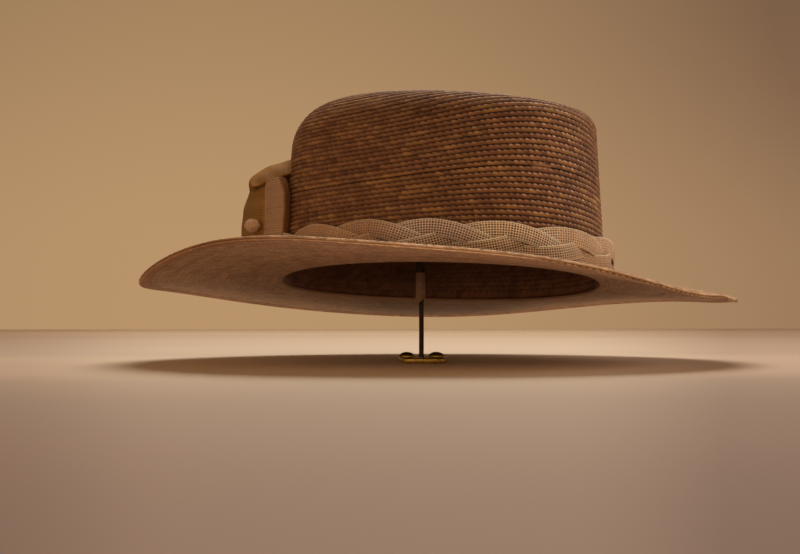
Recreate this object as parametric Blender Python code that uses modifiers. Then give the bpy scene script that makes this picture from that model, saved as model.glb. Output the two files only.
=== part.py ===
# Sewn straw hat with a plaited tape band and an upright bow, on a small screwed display stand.
# Metres, +Z up. +X is the front of the hat, +Y its left side, and the bow is at the back.
# The origin is on the surface that the stand's foot rests on, under the rod.
# Shapes are worked out in millimetres in the hat's own frame, whose origin is the centre of
# the head opening, and are then tilted and lifted onto the stand.

import math

import bmesh
import bpy
from mathutils import Matrix, Vector

MM = 0.001
GAP = 0.3

# Pose of the hat on the stand
HAT_CENTRE_X = 12.2
OPENING_HEIGHT = 48.9
SIDE_TILT_DEG = 7.5
FRONT_DIP_DEG = 1.6

# Head opening and crown wall, as superellipses
OPENING_HALF_LENGTH = 99.0
OPENING_HALF_WIDTH = 81.0
OVAL_POWER = 2.2
OPENING_SAG = -0.6
CROWN_WALL = 2.0
CROWN_INSET = 0.6
TAPER_LENGTH = 0.062
TAPER_WIDTH = 0.056
CROWN_SHIFT_X = 0.8
CROWN_LEAN = 0.004

# Crown top: height of its edge and radius of its shoulder, by direction
EDGE_HEIGHT = 107.0
EDGE_WAVES = (
    # times round, cosine mm, sine mm
    (1, 0.7, 0.3),
    (2, 1.6, 1.6),
    (3, 0.0, 0.8),
)
TIP_HEIGHT = 108.5
SHOULDER_RADIUS = 20.0
SHOULDER_CHANGE = 9.0
SHARPEST_SHOULDER_DEG = -40.0

# Brim
RIM_HALF_LENGTH = 184.2
RIM_HALF_WIDTH = 164.0
RIM_SHIFT_X = -1.7
RIM_HEIGHT = -3.1
RIM_WAVES = (
    # times round, cosine mm, sine mm
    (1, -2.6, 6.3),
    (2, -0.9, 5.8),
    (3, 2.3, 2.9),
    (4, -1.0, 0.2),
    (5, 1.0, 0.3),
    (6, 0.0, -0.8),
)
BRIM_THICKNESS = 1.7
BRIM_CURVE = 1.2

# Braid sewn under the rim
EDGE_BRAID_WIDTH = 7.0
EDGE_BRAID_THICKNESS = 1.3
EDGE_BRAID_OVERHANG = 0.4

# Plaited band: three tapes, each a closed loop round the crown
STRANDS = 3
PLAIT_PERIODS = 5
BAND_CENTRE_HEIGHT = 13.4
PLAIT_START_DEG = -28.0
PLAIT_SWING = 7.0
PLAIT_DEPTH = 2.0
TAPE_WIDTH = 7.8
TAPE_THICKNESS = 1.0
BAND_STANDOFF = 2.9
FRONT_STANDOFF = 1.5

# Bow: on each side an upright loop, a strap from its top to the crown and a tail behind it,
# mirrored across the XZ plane
BOW_THICKNESS = 1.2
BOW_LOOP = (
    # x, y, z of the tape's middle, its width, its turn from +X in degrees, its rise in degrees
    (-118.0, -10.8, 1.1, 20.0, -49.0, 0.0),
    (-118.4, -10.8, 24.0, 21.0, -49.0, 0.0),
    (-118.2, -10.8, 42.0, 20.0, -49.0, 0.0),
    (-117.2, -10.8, 52.0, 17.0, -49.0, 0.0),
)
BOW_STRAP = (
    # x, y, z of the tape's middle, its width, its turn from +X in degrees, its rise in degrees
    (-96.2, -12.0, 69.6, 17.0, -86.0, -42.0),
    (-109.0, -12.0, 64.5, 18.0, -84.0, -42.0),
    (-116.0, -12.0, 60.6, 17.0, -84.0, -36.0),
    (-120.8, -12.0, 58.0, 14.0, -84.0, -32.0),
)
BOW_TAIL = (
    # x, y, z of the tape's middle, its width, its turn from +X in degrees, its rise in degrees
    (-105.5, -25.4, 25.0, 16.7, -48.0, 0.0),
    (-105.0, -25.4, 38.0, 17.3, -48.0, 0.0),
    (-105.4, -25.0, 50.0, 16.7, -48.0, 0.0),
    (-106.6, -24.3, 57.0, 13.2, -52.0, 0.0),
)
BOW_ROLL_CENTRE = (-119.0, -18.6, 31.0)
BOW_ROLL_RADII = (5.0, 4.6, 4.2)

# Display stand
FOOT_LENGTH = 27.0
FOOT_DEPTH = 46.0
FOOT_THICKNESS = 3.0
FOOT_CORNER = 4.0
SCREW_SPACING = 18.6
SCREW_HEAD_RADIUS = 5.0
SCREW_HEAD_HEIGHT = 3.2
ROD_RADIUS = 1.5
POST_RADIUS = 2.9
SLEEVE_SHIFT_X = -0.6
SLEEVE_BORE = 1.8
SLEEVE_FOOT_Z = 38.6
SLEEVE_FOOT_SLOPE = 0.8
SLEEVE_TOP_Z = 56.0
REST_RADIUS = 27.0
REST_THICKNESS = 5.0
REST_TAPER = 2.0
REST_DROP = 0.6

# Fineness of the meshes
CROWN_SEGMENTS = 56
BRIM_SEGMENTS = 72
STEPS_PER_PERIOD = 24
BOW_STEPS = 5
WALL_SHARES = (0.0, 0.35, 0.7)
SHOULDER_TURNS_DEG = (0.0, 22.5, 45.0, 67.5, 90.0)
TIP_SHARES = (0.3, 0.65)
BRIM_SHARES = (1.0, 0.75, 0.5, 0.25, 0.0)
REST_SAMPLES = 20
SCREW_HEAD_STEPS = 6
SCREW_HEAD_SEGMENTS = 20

COLOURS = {
    # material: red, green, blue, roughness, metallic
    "brown_straw": (0.235, 0.125, 0.062, 0.72, 0.0),
    "pale_straw": (0.36, 0.235, 0.145, 0.75, 0.0),
    "gauze_tape": (0.52, 0.37, 0.23, 0.85, 0.0),
    "brass": (0.43, 0.31, 0.11, 0.35, 1.0),
    "dark_steel": (0.07, 0.055, 0.045, 0.5, 0.8),
    "tubing": (0.42, 0.3, 0.21, 0.6, 0.0),
    "rest_plastic": (0.08, 0.06, 0.05, 0.6, 0.0),
}


def clear_scene():
    for thing in list(bpy.data.objects):
        bpy.data.objects.remove(thing, do_unlink=True)


def new_collection(name):
    collection = bpy.data.collections.new(name)
    bpy.context.scene.collection.children.link(collection)
    return collection


def material(name):
    red, green, blue, roughness, metallic = COLOURS[name]
    made = bpy.data.materials.get(name) or bpy.data.materials.new(name)
    made.use_nodes = True
    shader = made.node_tree.nodes["Principled BSDF"]
    shader.inputs["Base Color"].default_value = (red, green, blue, 1.0)
    shader.inputs["Roughness"].default_value = roughness
    shader.inputs["Metallic"].default_value = metallic
    return made


def hat_matrix():
    lift = Matrix.Translation((HAT_CENTRE_X * MM, 0.0, OPENING_HEIGHT * MM))
    side = Matrix.Rotation(math.radians(-SIDE_TILT_DEG), 4, "X")
    front = Matrix.Rotation(math.radians(FRONT_DIP_DEG), 4, "Y")
    return lift @ side @ front


def add_object(name, mesh, material_name, collection, matrix=None):
    thing = bpy.data.objects.new(name, mesh)
    mesh.materials.append(material(material_name))
    collection.objects.link(thing)
    if matrix is not None:
        thing.matrix_world = matrix
    mesh.shade_smooth()
    mesh.set_sharp_from_angle(angle=math.radians(40))
    return thing


def mesh_from_rings(name, rings, caps=None, centre=None):
    """Join rings of equally many points, in millimetres, by quads; caps closes the end rings."""
    model = bmesh.new()
    rows = [[model.verts.new(Vector(point) * MM) for point in ring] for ring in rings]
    count = len(rows[0])
    for lower, upper in zip(rows, rows[1:]):
        for i in range(count):
            j = (i + 1) % count
            model.faces.new((lower[i], lower[j], upper[j], upper[i]))
    if caps == "both":
        model.faces.new(list(reversed(rows[0])))
        model.faces.new(rows[-1])
    if caps == "loop":
        for i in range(count):
            j = (i + 1) % count
            model.faces.new((rows[-1][i], rows[-1][j], rows[0][j], rows[0][i]))
    if centre is not None:
        tip = model.verts.new(Vector(centre) * MM)
        for i in range(count):
            model.faces.new((rows[-1][i], rows[-1][(i + 1) % count], tip))
    mesh = bpy.data.meshes.new(name)
    model.to_mesh(mesh)
    model.free()
    return mesh


def solidify(thing, thickness, offset):
    shell = thing.modifiers.new("wall", "SOLIDIFY")
    shell.thickness = thickness * MM
    shell.offset = offset
    shell.use_even_offset = True
    return shell


def angles(count):
    return [2.0 * math.pi * i / count for i in range(count)]


def waves(table, angle):
    return sum(cosine * math.cos(times * angle) + sine * math.sin(times * angle)
               for times, cosine, sine in table)


def oval(half_length, half_width, angle):
    along, across = math.cos(angle), math.sin(angle)
    reach = (abs(along) ** OVAL_POWER + abs(across) ** OVAL_POWER) ** (-1.0 / OVAL_POWER)
    return half_length * reach * along, half_width * reach * across


def wall_point(angle, height):
    """Outer face of the crown wall at a height above the head opening."""
    grow = CROWN_WALL + CROWN_INSET
    x, y = oval(OPENING_HALF_LENGTH + grow - TAPER_LENGTH * height,
                OPENING_HALF_WIDTH + grow - TAPER_WIDTH * height, angle)
    return Vector((x + CROWN_SHIFT_X + CROWN_LEAN * height, y, height))


def wall_normal(angle, height):
    step = 0.002
    run = wall_point(angle + step, height) - wall_point(angle - step, height)
    return Vector((run.y, -run.x, 0.0)).normalized()


def shoulder_radius(angle):
    sharpest = math.radians(SHARPEST_SHOULDER_DEG)
    return SHOULDER_RADIUS - SHOULDER_CHANGE * math.cos(angle - sharpest)


def edge_height(angle):
    return EDGE_HEIGHT + waves(EDGE_WAVES, angle)


def crown_base_height(angle):
    return OPENING_SAG * math.cos(2.0 * angle) + BRIM_THICKNESS + GAP


def shoulder_point(angle, turn):
    """Outer face of the shoulder: turn 0 is the top of the wall, turn 90 degrees the flat tip."""
    radius = shoulder_radius(angle)
    start = wall_point(angle, edge_height(angle) - radius)
    inward = wall_normal(angle, start.z) * (radius * (1.0 - math.cos(turn)))
    return start - inward + Vector((0.0, 0.0, radius * math.sin(turn)))


def tip_point(angle, share):
    """Top of the crown's tip: share 0 is the shoulder, share 1 the middle."""
    edge = shoulder_point(angle, math.pi / 2.0)
    point = edge.lerp(Vector((0.0, 0.0, TIP_HEIGHT)), share)
    point.z = edge.z + (TIP_HEIGHT - edge.z) * math.sin(share * math.pi / 2.0)
    return point


def crown_rings():
    around = angles(CROWN_SEGMENTS)
    rings = []
    for share in WALL_SHARES:
        ring = []
        for angle in around:
            base = crown_base_height(angle)
            top = edge_height(angle) - shoulder_radius(angle)
            ring.append(wall_point(angle, base + share * (top - base)))
        rings.append(ring)
    for turn_deg in SHOULDER_TURNS_DEG:
        rings.append([shoulder_point(angle, math.radians(turn_deg)) for angle in around])
    for share in TIP_SHARES:
        rings.append([tip_point(angle, share) for angle in around])
    return rings


def build_crown(collection):
    mesh = mesh_from_rings("crown", crown_rings(), centre=(0.0, 0.0, TIP_HEIGHT))
    crown = add_object("crown", mesh, "brown_straw", collection, hat_matrix())
    solidify(crown, CROWN_WALL, -1.0)


def brim_point(angle, share, outset=0.0):
    """Underside of the brim: share 0 is the head opening, share 1 the rim."""
    x0, y0 = oval(OPENING_HALF_LENGTH, OPENING_HALF_WIDTH, angle)
    inner = Vector((x0, y0, OPENING_SAG * math.cos(2.0 * angle)))
    outer = Vector(((RIM_HALF_LENGTH + outset) * math.cos(angle) + RIM_SHIFT_X,
                    (RIM_HALF_WIDTH + outset) * math.sin(angle),
                    RIM_HEIGHT + waves(RIM_WAVES, angle)))
    point = inner.lerp(outer, share)
    point.z = inner.z + (outer.z - inner.z) * share ** BRIM_CURVE
    return point


def build_brim(collection):
    around = angles(BRIM_SEGMENTS)
    rings = [[brim_point(angle, share) for angle in around]
             for share in BRIM_SHARES]
    mesh = mesh_from_rings("brim", rings)
    brim = add_object("brim", mesh, "pale_straw", collection, hat_matrix())
    solidify(brim, BRIM_THICKNESS, 1.0)


def build_brim_edge(collection):
    around = angles(BRIM_SEGMENTS)
    drop = Vector((0.0, 0.0, GAP))
    rings = []
    for back in (0.0, EDGE_BRAID_WIDTH):
        ring = []
        for angle in around:
            rim = brim_point(angle, 1.0, EDGE_BRAID_OVERHANG)
            inner = brim_point(angle, 0.0)
            span = (rim - inner).length
            ring.append(brim_point(angle, 1.0 - back / span, EDGE_BRAID_OVERHANG) - drop)
        rings.append(ring)
    mesh = mesh_from_rings("brim_edge", rings)
    edge = add_object("brim_edge", mesh, "pale_straw", collection, hat_matrix())
    solidify(edge, EDGE_BRAID_THICKNESS, -1.0)


def angle_at_arc_length(count):
    """Angles that divide the band's middle line into equal lengths."""
    fine = 1440
    lengths = [0.0]
    for i in range(fine):
        here = wall_point(2.0 * math.pi * i / fine, BAND_CENTRE_HEIGHT)
        there = wall_point(2.0 * math.pi * (i + 1) / fine, BAND_CENTRE_HEIGHT)
        lengths.append(lengths[-1] + (there - here).length)
    found = []
    i = 0
    for step in range(count):
        target = lengths[-1] * step / count
        while lengths[i + 1] <= target:
            i += 1
        part = (target - lengths[i]) / (lengths[i + 1] - lengths[i])
        found.append(2.0 * math.pi * (i + part) / fine)
    return found


def strand_point(angle, phase):
    """Middle of one tape: a sine up the wall, and twice as fast out from it at the crossings."""
    height = BAND_CENTRE_HEIGHT + PLAIT_SWING * math.sin(phase)
    standoff = BAND_STANDOFF + FRONT_STANDOFF * max(0.0, math.cos(angle)) ** 2
    out = standoff - PLAIT_DEPTH * math.sin(2.0 * phase)
    return wall_point(angle, height) + wall_normal(angle, height) * out


def build_strand(index, collection):
    steps = PLAIT_PERIODS * STEPS_PER_PERIOD
    places = angle_at_arc_length(steps)
    points = []
    for step, angle in enumerate(places):
        phase = 2.0 * math.pi * (PLAIT_PERIODS * step / steps + index / STRANDS)
        phase += math.radians(PLAIT_START_DEG)
        points.append(strand_point(angle, phase))
    section = (
        # share of the half width, share of the half thickness
        (-1.0, 0.0), (-0.5, -1.0), (0.5, -1.0), (1.0, 0.0), (0.5, 1.0), (-0.5, 1.0),
    )
    rings = []
    for step, angle in enumerate(places):
        run = (points[(step + 1) % steps] - points[step - 1]).normalized()
        out = wall_normal(angle, BAND_CENTRE_HEIGHT)
        across = out.cross(run).normalized()
        lift = run.cross(across)
        rings.append([points[step] + across * (wide * TAPE_WIDTH / 2.0)
                      + lift * (thick * TAPE_THICKNESS / 2.0) for wide, thick in section])
    mesh = mesh_from_rings("strand", rings, caps="loop")
    add_object("band_strand_%d" % (index + 1), mesh, "gauze_tape", collection, hat_matrix())


def smooth_rows(table, steps):
    """Catmull-Rom rows between the rows of a table."""
    rows = [table[0]] + list(table) + [table[-1]]
    found = []
    for before, start, end, after in zip(rows, rows[1:], rows[2:], rows[3:]):
        for i in range(steps):
            t = i / steps
            found.append([0.5 * (2.0 * b + (c - a) * t + (2.0 * a - 5.0 * b + 4.0 * c - d) * t * t
                                 + (3.0 * b - a - 3.0 * c + d) * t ** 3)
                          for a, b, c, d in zip(before, start, end, after)])
    found.append(list(table[-1]))
    return found


def width_direction(turn_deg, rise_deg):
    turn, rise = math.radians(turn_deg), math.radians(rise_deg)
    level = Vector((math.cos(turn), math.sin(turn), 0.0)) * math.cos(rise)
    return level + Vector((0.0, 0.0, math.sin(rise)))


def build_tape(name, table, side, collection):
    """A flat tape through the rows of a table; side -1 mirrors it to the hat's left."""
    rows = smooth_rows(table, BOW_STEPS)
    middles = [Vector(row[:3]) for row in rows]
    rings = []
    for i, (x, y, z, width, turn, rise) in enumerate(rows):
        run = middles[min(i + 1, len(rows) - 1)] - middles[max(i - 1, 0)]
        across = width_direction(turn, rise)
        lift = run.cross(across).normalized() * (BOW_THICKNESS / 2.0)
        half = across * (width / 2.0)
        middle = middles[i]
        ring = [middle - half - lift, middle + half - lift, middle + half + lift, middle - half + lift]
        if side < 0:
            ring = [Vector((point.x, -point.y, point.z)) for point in reversed(ring)]
        rings.append(ring)
    mesh = mesh_from_rings(name, rings, caps="both")
    add_object(name, mesh, "gauze_tape", collection, hat_matrix())


def build_bow_roll(name, side, collection):
    x, y, z = BOW_ROLL_CENTRE
    model = bmesh.new()
    bmesh.ops.create_uvsphere(model, u_segments=12, v_segments=8, radius=MM)
    bmesh.ops.scale(model, vec=BOW_ROLL_RADII, verts=model.verts)
    bmesh.ops.translate(model, vec=Vector((x, side * y, z)) * MM, verts=model.verts)
    mesh = bpy.data.meshes.new(name)
    model.to_mesh(mesh)
    model.free()
    add_object(name, mesh, "gauze_tape", collection, hat_matrix())


def build_bow(collection):
    for side, word in ((1, "right"), (-1, "left")):
        build_tape("bow_loop_" + word, BOW_LOOP, side, collection)
        build_tape("bow_strap_" + word, BOW_STRAP, side, collection)
        build_tape("bow_tail_" + word, BOW_TAIL, side, collection)
        build_bow_roll("bow_roll_" + word, side, collection)


def cylinder(name, radius, low, high, material_name, collection, segments=20, x=0.0):
    model = bmesh.new()
    bmesh.ops.create_cone(model, cap_ends=True, segments=segments, radius1=radius * MM,
                          radius2=radius * MM, depth=(high - low) * MM)
    mesh = bpy.data.meshes.new(name)
    model.to_mesh(mesh)
    model.free()
    place = Matrix.Translation((x * MM, 0.0, (low + high) / 2.0 * MM))
    return add_object(name, mesh, material_name, collection, place)


def rest_place():
    """Centre of the rest's top face, over the rod and just under the lowest tip that it meets."""
    hat = hat_matrix()
    centre = hat.inverted() @ Vector((0.0, 0.0, (OPENING_HEIGHT + TIP_HEIGHT) * MM)) / MM
    above = []
    for angle in angles(CROWN_SEGMENTS):
        for step in range(REST_SAMPLES + 1):
            point = tip_point(angle, step / REST_SAMPLES)
            if math.hypot(point.x - centre.x, point.y - centre.y) < REST_RADIUS + CROWN_WALL:
                above.append(point.z)
    centre.z = min(above) - CROWN_WALL - REST_DROP
    return hat @ (centre * MM)


def build_rest(collection):
    model = bmesh.new()
    bmesh.ops.create_cone(model, cap_ends=True, segments=40, radius1=(REST_RADIUS - REST_TAPER) * MM,
                          radius2=REST_RADIUS * MM, depth=REST_THICKNESS * MM)
    bmesh.ops.translate(model, vec=(0.0, 0.0, -REST_THICKNESS / 2.0 * MM), verts=model.verts)
    mesh = bpy.data.meshes.new("crown_rest")
    model.to_mesh(mesh)
    model.free()
    turn = hat_matrix().to_3x3().to_4x4()
    add_object("crown_rest", mesh, "rest_plastic", collection,
               Matrix.Translation(rest_place()) @ turn)


def build_sleeve(collection):
    segments = 24
    rings = []
    corners = (
        # radius, shift along x, whether at the top
        (POST_RADIUS, SLEEVE_SHIFT_X, False),
        (POST_RADIUS, SLEEVE_SHIFT_X, True),
        (SLEEVE_BORE, 0.0, True),
        (SLEEVE_BORE, 0.0, False),
    )
    for radius, shift, top in corners:
        ring = []
        for angle in angles(segments):
            x, y = radius * math.cos(angle) + shift, radius * math.sin(angle)
            z = SLEEVE_TOP_Z if top else SLEEVE_FOOT_Z + SLEEVE_FOOT_SLOPE * x
            ring.append((x, y, z))
        rings.append(ring)
    mesh = mesh_from_rings("stand_sleeve", rings, caps="loop")
    add_object("stand_sleeve", mesh, "tubing", collection)


def build_foot(collection):
    model = bmesh.new()
    bmesh.ops.create_cube(model, size=1.0)
    bmesh.ops.scale(model, vec=(FOOT_LENGTH * MM, FOOT_DEPTH * MM, FOOT_THICKNESS * MM),
                    verts=model.verts)
    bmesh.ops.translate(model, vec=(0.0, 0.0, FOOT_THICKNESS / 2.0 * MM), verts=model.verts)
    upright = [edge for edge in model.edges
               if abs(edge.verts[0].co.z - edge.verts[1].co.z) > FOOT_THICKNESS / 2.0 * MM]
    bmesh.ops.bevel(model, geom=upright, offset=FOOT_CORNER * MM, segments=4, affect="EDGES",
                    profile=0.5)
    mesh = bpy.data.meshes.new("stand_foot")
    model.to_mesh(mesh)
    model.free()
    add_object("stand_foot", mesh, "brass", collection)


def build_screw_head(name, x, collection):
    profile = [Vector((0.0, 0.0, SCREW_HEAD_HEIGHT)) * MM]
    for i in range(1, SCREW_HEAD_STEPS + 1):
        turn = math.pi / 2.0 * i / SCREW_HEAD_STEPS
        profile.append(Vector((SCREW_HEAD_RADIUS * math.sin(turn), 0.0,
                               SCREW_HEAD_HEIGHT * math.cos(turn))) * MM)
    profile.append(Vector((0.0, 0.0, 0.0)))
    model = bmesh.new()
    points = [model.verts.new(point) for point in profile]
    for start, end in zip(points, points[1:]):
        model.edges.new((start, end))
    mesh = bpy.data.meshes.new(name)
    model.to_mesh(mesh)
    model.free()
    place = Matrix.Translation((x * MM, 0.0, (FOOT_THICKNESS + GAP) * MM))
    head = add_object(name, mesh, "brass", collection, place)
    turned = head.modifiers.new("turned", "SCREW")
    turned.steps = SCREW_HEAD_SEGMENTS
    turned.render_steps = SCREW_HEAD_SEGMENTS
    turned.use_merge_vertices = True
    turned.merge_threshold = 0.00001
    turned.use_smooth_shade = True


def build_stand(collection):
    build_foot(collection)
    for word, x in (("back", -SCREW_SPACING / 2.0), ("front", SCREW_SPACING / 2.0)):
        build_screw_head("screw_" + word, x, collection)
    cylinder("stand_rod", ROD_RADIUS, FOOT_THICKNESS + GAP, SLEEVE_TOP_Z, "dark_steel", collection)
    build_sleeve(collection)
    turn = hat_matrix().to_3x3()
    under_rest = (rest_place() - turn @ Vector((0.0, 0.0, REST_THICKNESS * MM))).z / MM
    lean = POST_RADIUS * math.tan(math.radians(SIDE_TILT_DEG + FRONT_DIP_DEG))
    cylinder("stand_post", POST_RADIUS, SLEEVE_TOP_Z + GAP, under_rest - lean - GAP,
             "dark_steel", collection, x=SLEEVE_SHIFT_X)
    build_rest(collection)


def main():
    clear_scene()
    collection = new_collection("straw_hat_on_display_stand")
    build_crown(collection)
    build_brim(collection)
    build_brim_edge(collection)
    for index in range(STRANDS):
        build_strand(index, collection)
    build_bow(collection)
    build_stand(collection)


main()
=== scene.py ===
# Looks of a sewn straw hat with a plaited tape band and an upright bow, on a small display stand.
# Shapes are numpy grids in millimetres in the hat's own frame, and are then put on the stand in metres.
import math

import bpy
import numpy as np
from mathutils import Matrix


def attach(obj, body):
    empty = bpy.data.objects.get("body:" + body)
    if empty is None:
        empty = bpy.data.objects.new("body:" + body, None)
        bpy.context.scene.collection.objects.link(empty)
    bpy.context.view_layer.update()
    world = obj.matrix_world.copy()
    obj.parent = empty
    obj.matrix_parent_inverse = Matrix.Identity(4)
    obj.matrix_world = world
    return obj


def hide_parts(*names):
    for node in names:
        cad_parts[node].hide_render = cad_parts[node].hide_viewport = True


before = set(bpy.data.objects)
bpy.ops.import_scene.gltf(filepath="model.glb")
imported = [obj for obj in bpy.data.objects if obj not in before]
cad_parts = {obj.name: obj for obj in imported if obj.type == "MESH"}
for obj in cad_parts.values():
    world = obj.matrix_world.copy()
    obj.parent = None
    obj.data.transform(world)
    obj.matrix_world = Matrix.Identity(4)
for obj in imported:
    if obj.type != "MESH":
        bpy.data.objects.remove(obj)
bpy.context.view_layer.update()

hat = {
    "centreX": 12.2, "openingHeight": 48.9, "sideTilt": 7.5, "frontDip": 1.6,
    "openingHalfLength": 99, "openingHalfWidth": 81, "ovalPower": 2.2, "openingSag": -0.6,
    "lobeLength": 4.1,      # mm of braid for each slanting strand that shows
    "weftLength": 1.6,      # mm of tape for each thread across it
    "scallopPower": 0.7, "seamPower": 0.6, "seamHeight": (0.4, 0.8),    # a strand's edge, the seams between
    "seed": 7,
}
rng = np.random.RandomState(hat["seed"])


# Shapes shared by all pieces

def hatTurn():
    # dips the hat to the front and then tilts it to the side
    side, front = math.radians(-hat["sideTilt"]), math.radians(hat["frontDip"])
    c, s = math.cos(side), math.sin(side)
    turnX = np.array([[1, 0, 0], [0, c, -s], [0, s, c]])
    c, s = math.cos(front), math.sin(front)
    turnY = np.array([[c, 0, s], [0, 1, 0], [-s, 0, c]])
    return turnX @ turnY


def hatToWorld(points):
    # from mm in the hat's own frame to metres on the stand
    lift = np.array([hat["centreX"], 0, hat["openingHeight"]])
    return (points @ hatTurn().T + lift) / 1000


def oval(halfLength, halfWidth, angle):
    # superellipse: the point in direction angle at reach (|cos|^p + |sin|^p)^(-1/p)
    along, across = np.cos(angle), np.sin(angle)
    power = hat["ovalPower"]
    reach = (np.abs(along) ** power + np.abs(across) ** power) ** (-1 / power)
    return halfLength * reach * along, halfWidth * reach * across


def waves(table, angle):
    # sum of cosine and sine waves, a table row giving times round, cosine mm and sine mm
    return sum(c * np.cos(n * angle) + s * np.sin(n * angle) for n, c, s in table)


def turns(count, start=0):
    # even directions once round, from the front, or from start
    return np.linspace(start, start + 2 * math.pi, count, endpoint=False)


def unit(vectors):
    return vectors / np.maximum(np.linalg.norm(vectors, axis=-1, keepdims=True), 1e-9)


def closedStep(points, axis=0):
    # from the point before each one to the point after it, on closed lines
    return np.roll(points, -1, axis) - np.roll(points, 1, axis)


def wayAlong(points, closed=False):
    # distance from the first point to each one, and on to the first again where the line is closed
    if closed:
        points = np.concatenate([points, points[:1]])
    step = np.linalg.norm(np.diff(points, axis=0), axis=-1)
    return np.concatenate([np.zeros_like(step[:1]), np.cumsum(step, axis=0)])


def gridNormals(points, closed=True):
    # unit cross product of the steps along the rows and down the columns
    along = closedStep(points, 1) if closed else np.gradient(points, axis=1)
    return unit(np.cross(along, np.gradient(points, axis=0)))


def middles(points):
    # the two poles of a grid: the middle of its first row and of its last
    return points[0].mean(0), points[-1].mean(0)


def cellUv(byColumn, byRow):
    # at each corner of each grid cell: a value that runs along the rows, and one that runs down the columns
    cells = np.zeros((len(byRow) - 1, byColumn.shape[-1] - 1, 4, 2))
    cells[..., 0, 0] = cells[..., 3, 0] = byColumn[..., :-1]
    cells[..., 1, 0] = cells[..., 2, 0] = byColumn[..., 1:]
    cells[..., 0, 1] = cells[..., 1, 1] = byRow[:-1, None]
    cells[..., 2, 1] = cells[..., 3, 1] = byRow[1:, None]
    return cells


def gridPiece(name, points, uv=None, uvName="braid", poles=(), flip=False):
    # a quad for each cell of a grid of points (rows x columns x 3, metres), whose rows are closed rings. Its
    # last row joins its first, or fans join both of them to two poles
    rows, columns = points.shape[:2]
    index = np.arange(rows * columns).reshape(rows, columns)
    index = np.hstack([index, index[:, :1]])
    if not poles:
        index = np.vstack([index, index[:1]])
    vertices = points.reshape(-1, 3)
    faces = [np.stack([index[:-1, :-1], index[:-1, 1:], index[1:, 1:], index[1:, :-1]], -1).reshape(-1, 4)]
    corners = [] if uv is None else [uv.reshape(-1, 4, 2)]
    if poles:
        vertices = np.vstack([vertices, *poles])
        for pole, line in enumerate((index[0, ::-1], index[-1])):
            faces.append(np.stack([line[:-1], line[1:], np.full(columns, rows * columns + pole)], -1))
        if uv is not None:
            for edges in (uv[0, ::-1, 1::-1], uv[-1, :, :1:-1]):
                corners.append(np.concatenate([edges, edges.mean(1, keepdims=True)], 1))
    if flip:
        faces = [f[:, ::-1] for f in faces]
        corners = [c[:, ::-1] for c in corners]
    sizes = np.concatenate([np.full(len(f), f.shape[1]) for f in faces])
    mesh = bpy.data.meshes.new(name)
    mesh.vertices.add(len(vertices))
    mesh.vertices.foreach_set("co", vertices.astype(np.float32).reshape(-1))
    mesh.loops.add(int(sizes.sum()))
    mesh.loops.foreach_set("vertex_index", np.concatenate([f.reshape(-1) for f in faces]).astype(np.int32))
    mesh.polygons.add(len(sizes))
    mesh.polygons.foreach_set("loop_start", (np.cumsum(sizes) - sizes).astype(np.int32))
    mesh.update(calc_edges=True)
    if uv is not None:
        layer = mesh.uv_layers.new(name=uvName)
        layer.data.foreach_set("uv", np.concatenate([c.reshape(-1) for c in corners]).astype(np.float32))
    mesh.shade_smooth()
    mesh.validate()
    piece = bpy.data.objects.new(name, mesh)
    bpy.context.scene.collection.objects.link(piece)
    return piece


def finishPiece(piece, node, materials, which=None):
    # gives the piece its materials and its body, and hides the plain node that it stands for
    for material in materials:
        piece.data.materials.append(material)
    if which is not None:
        piece.data.polygons.foreach_set("material_index", which.astype(np.int32))
    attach(piece, "root")
    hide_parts(node)
    print("made", piece.name, sum(len(p.vertices) - 2 for p in piece.data.polygons), "triangles")


def resample(labels, points, wanted):
    # on each column, the points where the rising label takes each wanted value, by straight interpolation
    columns = labels.shape[1]
    step = labels.max() + 1000      # sets the columns so far apart that one search does for all
    keys = (labels + np.arange(columns) * step).T.reshape(-1)
    asked = (np.asarray(wanted)[:, None] + np.arange(columns) * step).T.reshape(-1)
    upper = np.clip(np.searchsorted(keys, asked), 1, len(keys) - 1)
    share = np.clip((asked - keys[upper - 1]) / np.maximum(keys[upper] - keys[upper - 1], 1e-9), 0, 1)
    flat = points.transpose(1, 0, 2).reshape(-1, 3)
    found = flat[upper - 1] + (flat[upper] - flat[upper - 1]) * share[:, None]
    return found.reshape(columns, len(wanted), 3).transpose(1, 0, 2)


def roundTrip(points):
    # share of the closed way round at each column, from 0 to 1, one more than there are columns
    way = wayAlong(points, closed=True)
    return way / way[-1]


def reliefLines(first, last, shares):
    # grid lines for the rows first to last, at the given shares of each row, and the closing line
    return np.array([row + share for row in range(first, last) for share in shares] + [float(last)])


def braidPattern(points, labels):
    # for each row of braid: how many strands show round it, and where its first one starts
    pattern = {}
    for row in range(int(math.floor(labels.min())), int(math.ceil(labels.max())) + 1):
        line = np.abs(labels - (row + 0.5)).argmin()
        length = wayAlong(points[line], closed=True)[-1]
        pattern[row] = (max(4, int(round(length / hat["lobeLength"]))), rng.rand())
    return pattern


def strandNumbers(pattern, rows, share):
    # how many strands of each row have passed at each share of the way round it
    count, start = np.array([pattern[row] for row in rows.astype(int)]).T[..., None]
    return start + count * share


def braidUv(labels, pattern, share):
    # strand number along the row and row label; each cell belongs to one row
    return cellUv(strandNumbers(pattern, np.floor((labels[:-1] + labels[1:]) / 2), share), labels)


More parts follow.
